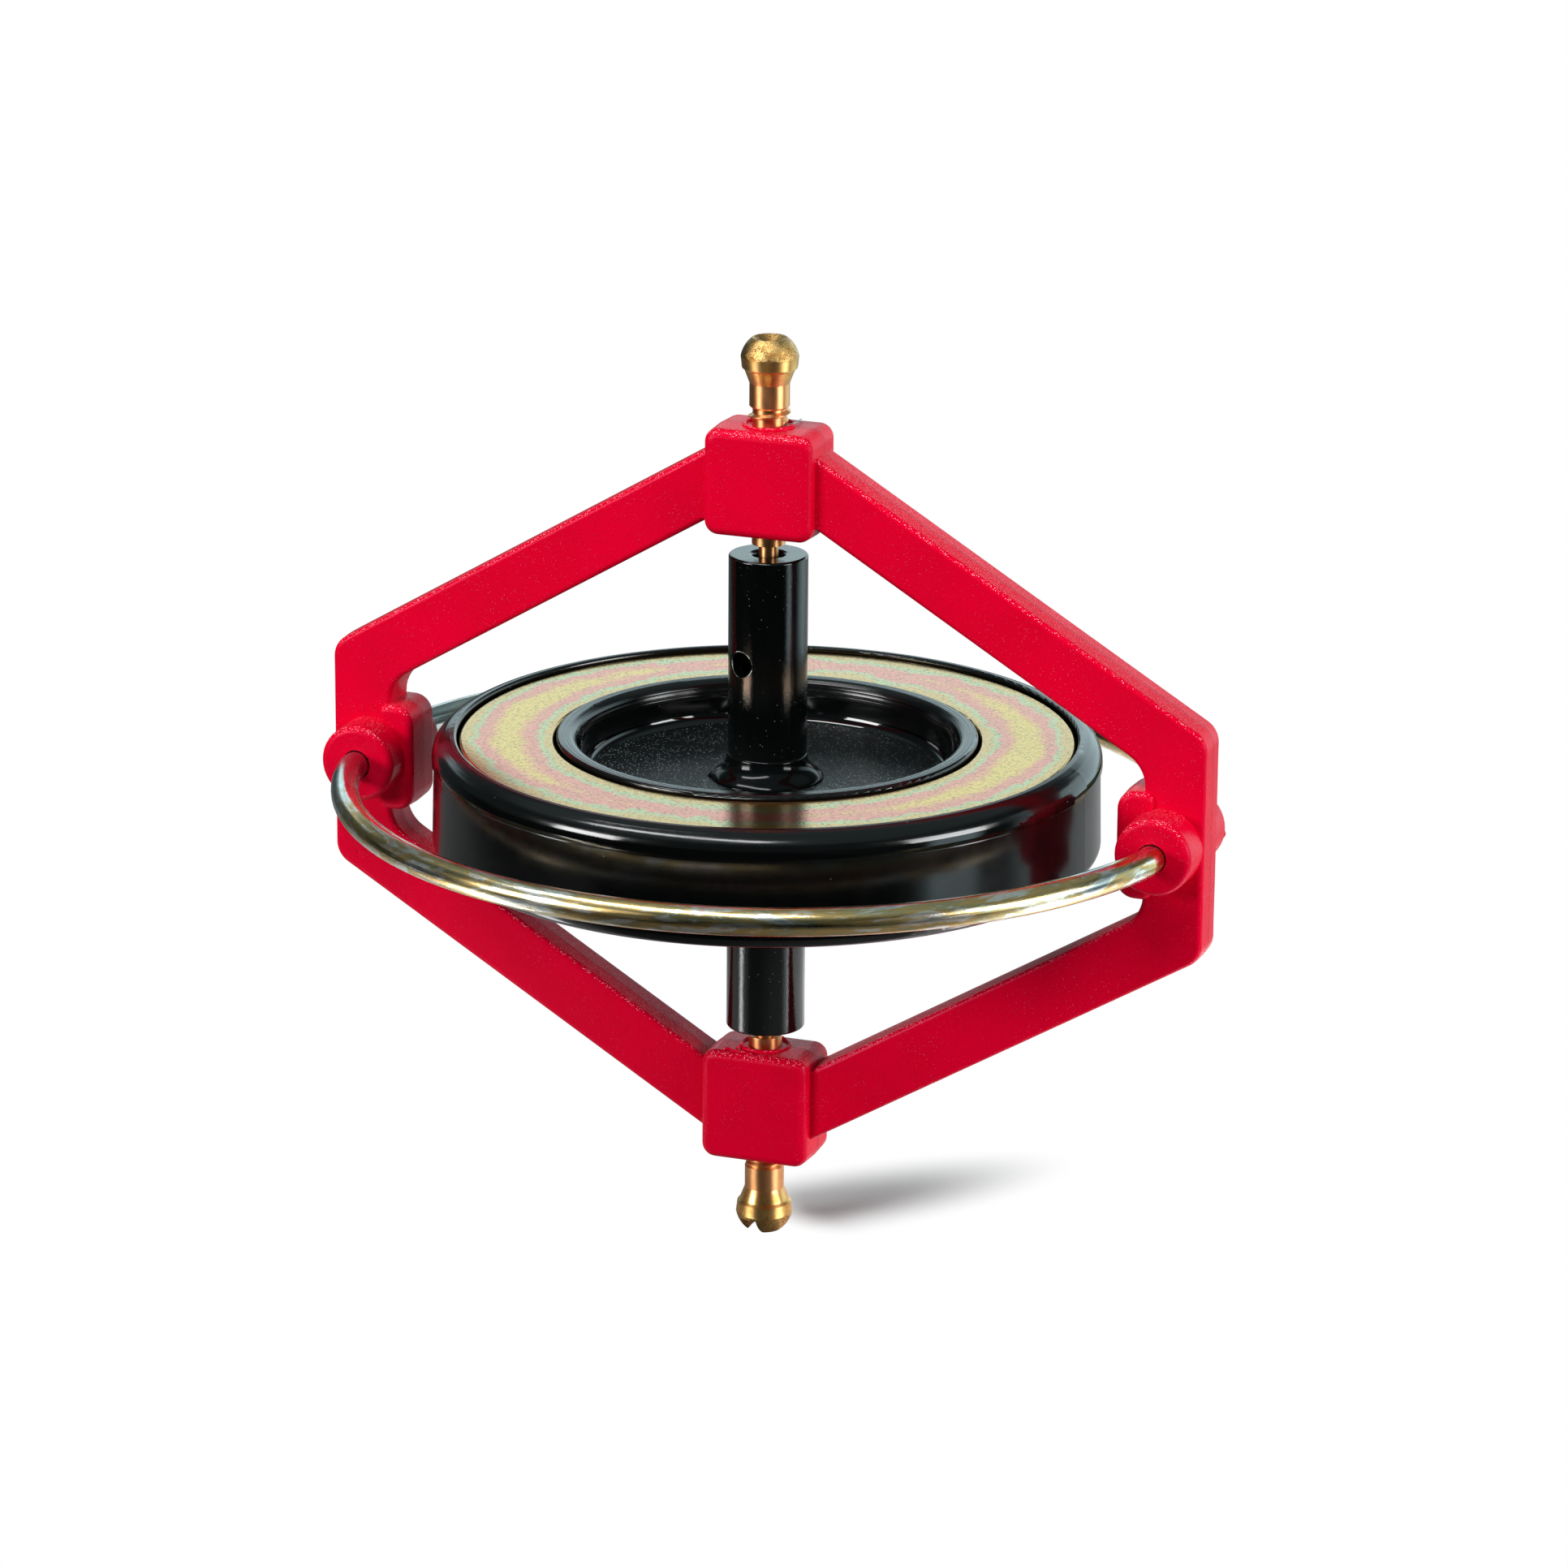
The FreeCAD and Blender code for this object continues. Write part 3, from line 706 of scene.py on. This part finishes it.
def makeHoleLips(shape):
    # plastic pushed up round the screw where it enters the block
    chance = random.Random(shape["seed"])
    for name, height in shape["heights"].items():
        phases = drawPhases(chance)
        points, radii = [], []
        for angle in turnAngles(shape["steps"]):
            points.append((shape["radius"] * math.cos(angle), shape["radius"] * math.sin(angle), height))
            swell = waveSum(angle, shape["counts"], phases, shape["shares"])
            radii.append(shape["thick"] * (1 + shape["swell"] * swell))
        mesh = strandMesh(name, points, radii, closed=True)
        addPiece(name, mesh, redPlastic, "frame")


# each strand has the points it runs through and its radius at each of them
strands = {
    "swarfCurl": {
        "material": burrPlastic,
        "points": ((1.95, 0.5, 37.36), (2.32, 1.1, 37.40), (2.46, 1.8, 37.44), (2.40, 2.4, 37.44),
                   (2.20, 3.0, 37.36)),
        "radii": (0.04, 0.08, 0.09, 0.07, 0.03)},
    "flashSliver": {
        "material": redPlastic,
        "points": ((-2.2, -2.4, -26.46), (-1.9, -2.2, -26.20), (-1.65, -2.05, -25.95),
                   (-1.5, -2.0, -25.75)),
        "radii": (0.14, 0.12, 0.08, 0.03)},
    "flashSwirl": {
        "material": redPlastic,
        "points": ((-3.4, -3.3, -26.46), (-3.0, -2.7, -26.38), (-2.3, -2.9, -26.40), (-1.6, -3.3, -26.36),
                   (-0.8, -3.1, -26.42), (-0.1, -3.3, -26.46)),
        "radii": (0.08, 0.16, 0.12, 0.17, 0.12, 0.06)},
    "gateNub": {
        "material": redPlastic,
        "points": ((44.75, 5.9, -0.9), (44.80, 6.15, -0.9), (44.82, 6.40, -0.9), (44.82, 6.46, -0.9)),
        "radii": (0.55, 0.52, 0.42, 0.25)},
}


def makeStrands(strands):
    for name, strand in strands.items():
        mesh = strandMesh(name, strand["points"], strand["radii"])
        addPiece(name, mesh, strand["material"], "frame")


makeThread("upperThread", threadShape, 1, "upper_screw")
makeThread("lowerThread", threadShape, -1, "lower_screw")
print("threads cut")
makeBead(beadShape)
makeHoleBurr(holeBurr)
makeHoleLips(holeLip)
makeStrands(strands)
print("bead, burrs and flash made")


# floor and light, in metres and degrees

floorLook = {
    "azimuth": 20.15, "front": 0.105, "back": 0.42, "side": 0.165, "corner": 0.03, "cells": 40,
    # the paper is grey, so the oval that the shade values place is painted darker than the white round it,
    # as the shadow's outline
    "colour": (0.70, 0.75, 0.75, 1),
    "shadeTowards": 137.7, "shadeFrom": 0.0078, "shadeBeside": -0.0030,
    "shadeAlong": 0.030, "shadeBehind": 0.0065, "shadeAcross": 0.0096, "paleRange": (0.15, 1.02),
    "bounce": 0.45, "frontBounce": 0.07, "wedge": (46, 60),
    "sideRange": (-0.5, 0.6, 0.45, 1.4), "nearRange": (0.075, 0.12, 2.6, 1),
    "cards": ((-75, 7), (71, 7)), "cardCore": 0.4, "cardStrength": 9.0,          # azimuth, half width
    "cardFrom": (0.046, 0.050), "cardTo": (0.100, 0.110, 1, 0),
}


def makeSheet(look):
    # one sheet with rounded front corners, which ends in front of the object and runs on behind it
    ahead, aside = bearing(look["azimuth"]), bearing(look["azimuth"] + 90)
    cells, corner = look["cells"], look["corner"]
    builder = bmesh.new()
    rows = []
    for step in range(cells + 1):
        depth = look["front"] - (look["front"] + look["back"]) * step / cells
        short = max(0, corner - (look["front"] - depth))
        wide = look["side"] - corner + math.sqrt(corner ** 2 - short ** 2)
        rows.append([builder.verts.new(ahead * depth + aside * wide * (2 * part / cells - 1))
                     for part in range(cells + 1)])
    for row, following in zip(rows, rows[1:]):
        for index in range(cells):
            builder.faces.new((row[index], following[index], following[index + 1], row[index + 1]))
    return finishMesh("floor", builder)


def shadeEdge(tree, place, look):
    # painted shadow outline: 0 inside a long soft oval, set beside the ball where the shadow should lie,
    # where the camera sees the grey paper with its real shading, 1 where it sees plain white
    away = minus(tree, alongWay(tree, place, bearing(look["shadeTowards"])), look["shadeFrom"])
    away = calc(tree, "MAXIMUM", calc(tree, "DIVIDE", away, look["shadeAlong"]),
                calc(tree, "DIVIDE", away, -look["shadeBehind"]))
    across = minus(tree, alongWay(tree, place, bearing(look["shadeTowards"] - 90)), look["shadeBeside"])
    across = calc(tree, "DIVIDE", across, look["shadeAcross"])
    away = calc(tree, "SQRT", plus(tree, times(tree, away, away), times(tree, across, across)))
    return between(tree, away, *look["paleRange"])


def bounceShare(tree, way, distance, look):
    # the paper sends back less light in front of the object and at its left, and more close to it
    narrow, wide = (math.cos(math.radians(turn)) for turn in look["wedge"])
    facing = alongWay(tree, way, bearing(look["azimuth"]))
    sideways = alongWay(tree, way, bearing(look["azimuth"] + 90))
    return times(tree, between(tree, facing, wide, narrow, look["bounce"], look["frontBounce"]),
                 between(tree, sideways, *look["sideRange"]), between(tree, distance, *look["nearRange"]))


def cardLight(tree, way, distance, shown, look):
    # two strips of the sheet at the sides glow like white cards, for glossy rays only, so they light
    # nothing and only polished faces show them, as painted bright streaks
    cards = 0.0
    for azimuth, half in look["cards"]:
        facing = alongWay(tree, way, bearing(look["azimuth"] + azimuth))
        edge, core = math.cos(math.radians(half)), math.cos(math.radians(half * look["cardCore"]))
        cards = plus(tree, cards, between(tree, facing, edge, core))
    return times(tree, cards, between(tree, distance, *look["cardFrom"]),
                 between(tree, distance, *look["cardTo"]), shown, look["cardStrength"])


def mixShaders(tree, share, first, second):
    return addNode(tree, "ShaderNodeMixShader", {0: share, 1: first, 2: second}).outputs[0]


def makeFloor(look):
    mesh = makeSheet(look)
    floor = bpy.data.objects.new("floor", mesh)
    bpy.context.scene.collection.objects.link(floor)
    material, tree = newMaterial("paleFloor")[:2]
    tree.nodes.clear()
    place = addNode(tree, "ShaderNodeTexCoord").outputs["Object"]
    way = vectorCalc(tree, "NORMALIZE", place).outputs[0]
    distance = vectorCalc(tree, "LENGTH", place).outputs["Value"]
    rays = addNode(tree, "ShaderNodeLightPath").outputs
    paper = addNode(tree, "ShaderNodeBsdfDiffuse", {"Color": look["colour"]}).outputs[0]
    white = addNode(tree, "ShaderNodeEmission", {"Strength": 1.0}).outputs[0]
    # the camera sees the grey paper only inside the painted shadow oval, and plain white elsewhere
    faded = mixShaders(tree, shadeEdge(tree, place, look), paper, white)
    share = bounceShare(tree, way, distance, look)
    bounce = addNode(tree, "ShaderNodeBsdfDiffuse", {"Color": share}).outputs[0]
    strength = cardLight(tree, way, distance, rays["Is Glossy Ray"], look)
    card = addNode(tree, "ShaderNodeEmission", {"Strength": strength}).outputs[0]
    unseen = addNode(tree, "ShaderNodeAddShader", {0: bounce, 1: card}).outputs[0]
    surface = mixShaders(tree, rays["Is Camera Ray"], unseen, faded)
    addNode(tree, "ShaderNodeOutputMaterial", {"Surface": surface})
    mesh.materials.append(material)


worldLook = {
    "azimuth": 8.65, "bright": 1.6, "dim": 0.04, "brightFrom": -0.55, "dimFrom": -0.12,
    "slopeTowards": 110.15, "slope": 0.45, "footRange": (0.0, 0.12), "highRange": (0.33, 0.42), "sky": 0.08,
    "bandAzimuth": 86, "bandHalf": 9, "bandEdge": 1.4, "bandCore": 0.6, "band": 2.2,
    "bandLow": (-0.55, -0.45), "bandHigh": (0.30, 0.40, 1, 0), "tint": (0.74, 0.95, 1.0, 1),
    "roomRange": (0.0, 0.12, 0, 0.08), "ceilingRange": (0.55, 0.75, 0, 0.24),
}


def makeWorld(look):
    # a white backdrop behind the object, a dim room in front of it and one tall pale panel at the right
    world = bpy.data.worlds.new("studio")
    bpy.context.scene.world = world
    world.use_nodes = True
    tree = world.node_tree
    x, y, z = splitPoint(tree, addNode(tree, "ShaderNodeTexCoord").outputs["Generated"])
    level = calc(tree, "SQRT", calc(tree, "SUBTRACT", 1.0, times(tree, z, z), clamp=True))

    def towards(azimuth):
        way = bearing(azimuth)
        along = plus(tree, times(tree, x, way.x), times(tree, y, way.y))
        return calc(tree, "DIVIDE", along, calc(tree, "MAXIMUM", level, 0.001))

    wall = between(tree, towards(look["azimuth"]), look["brightFrom"], look["dimFrom"],
                   look["bright"], look["dim"])
    # the backdrop begins above the table, higher at the left than at the right
    foot = plus(tree, z, times(tree, towards(look["slopeTowards"]), look["slope"]))
    wall = times(tree, wall, between(tree, foot, *look["footRange"], look["dim"], 1))
    high = between(tree, z, *look["highRange"])
    total = plus(tree, times(tree, wall, minus(tree, 1.0, high)), times(tree, high, look["sky"]))
    half = math.radians(look["bandHalf"])
    band = between(tree, towards(look["bandAzimuth"]), math.cos(half * look["bandEdge"]),
                   math.cos(half * look["bandCore"]), 0, look["band"])
    band = times(tree, band, between(tree, z, *look["bandLow"]), between(tree, z, *look["bandHigh"]))
    total = plus(tree, total, band)
    # polished faces show the room and its ceiling, which light nothing
    rays = addNode(tree, "ShaderNodeLightPath").outputs
    seen = rays["Is Camera Ray"]
    fill = plus(tree, between(tree, z, *look["roomRange"]), between(tree, z, *look["ceilingRange"]))
    total = calc(tree, "MAXIMUM", total, times(tree, fill, rays["Is Glossy Ray"]))
    # the camera itself sees plain white
    strength = plus(tree, times(tree, total, minus(tree, 1.0, seen)), seen)
    background = tree.nodes["Background"]
    connect(tree, strength, background.inputs["Strength"])
    connect(tree, blendColours(tree, seen, look["tint"], (1, 1, 1, 1)), background.inputs["Color"])


lamps = {
    "leftBox": {"azimuth": -42, "elevation": 14, "distance": 0.80, "size": (0.32, 0.20), "power": 4.3},
    "rightBox": {"azimuth": 83, "elevation": 10, "distance": 0.80, "size": (0.42, 0.20), "power": 3.5},
    "frontFill": {"azimuth": 50, "elevation": 20, "distance": 0.80, "size": (0.40, 0.30), "power": 1.25,
                  "mirrored": False},                       # polished faces don't show it
    "topStrip": {"azimuth": -26, "elevation": 65, "distance": 0.55, "size": (0.50, 0.08), "power": 2.0},
}


def makeLamps(lamps):
    for name, lamp in lamps.items():
        data = bpy.data.lights.new(name, "AREA")
        data.shape = "RECTANGLE"
        data.size, data.size_y = lamp["size"]
        data.energy = lamp["power"]
        light = bpy.data.objects.new(name, data)
        way = bearing(lamp["azimuth"], lamp["elevation"])
        level = bearing(lamp["azimuth"] + 90)
        light.location = wheelCentre + way * lamp["distance"]
        light.rotation_mode = "QUATERNION"
        light.rotation_quaternion = Matrix((level, way.cross(level), way)).transposed().to_quaternion()
        light.visible_camera = False
        light.visible_glossy = lamp.get("mirrored", True)
        bpy.context.scene.collection.objects.link(light)


makeFloor(floorLook)
makeWorld(worldLook)
makeLamps(lamps)
print("floor and light set")
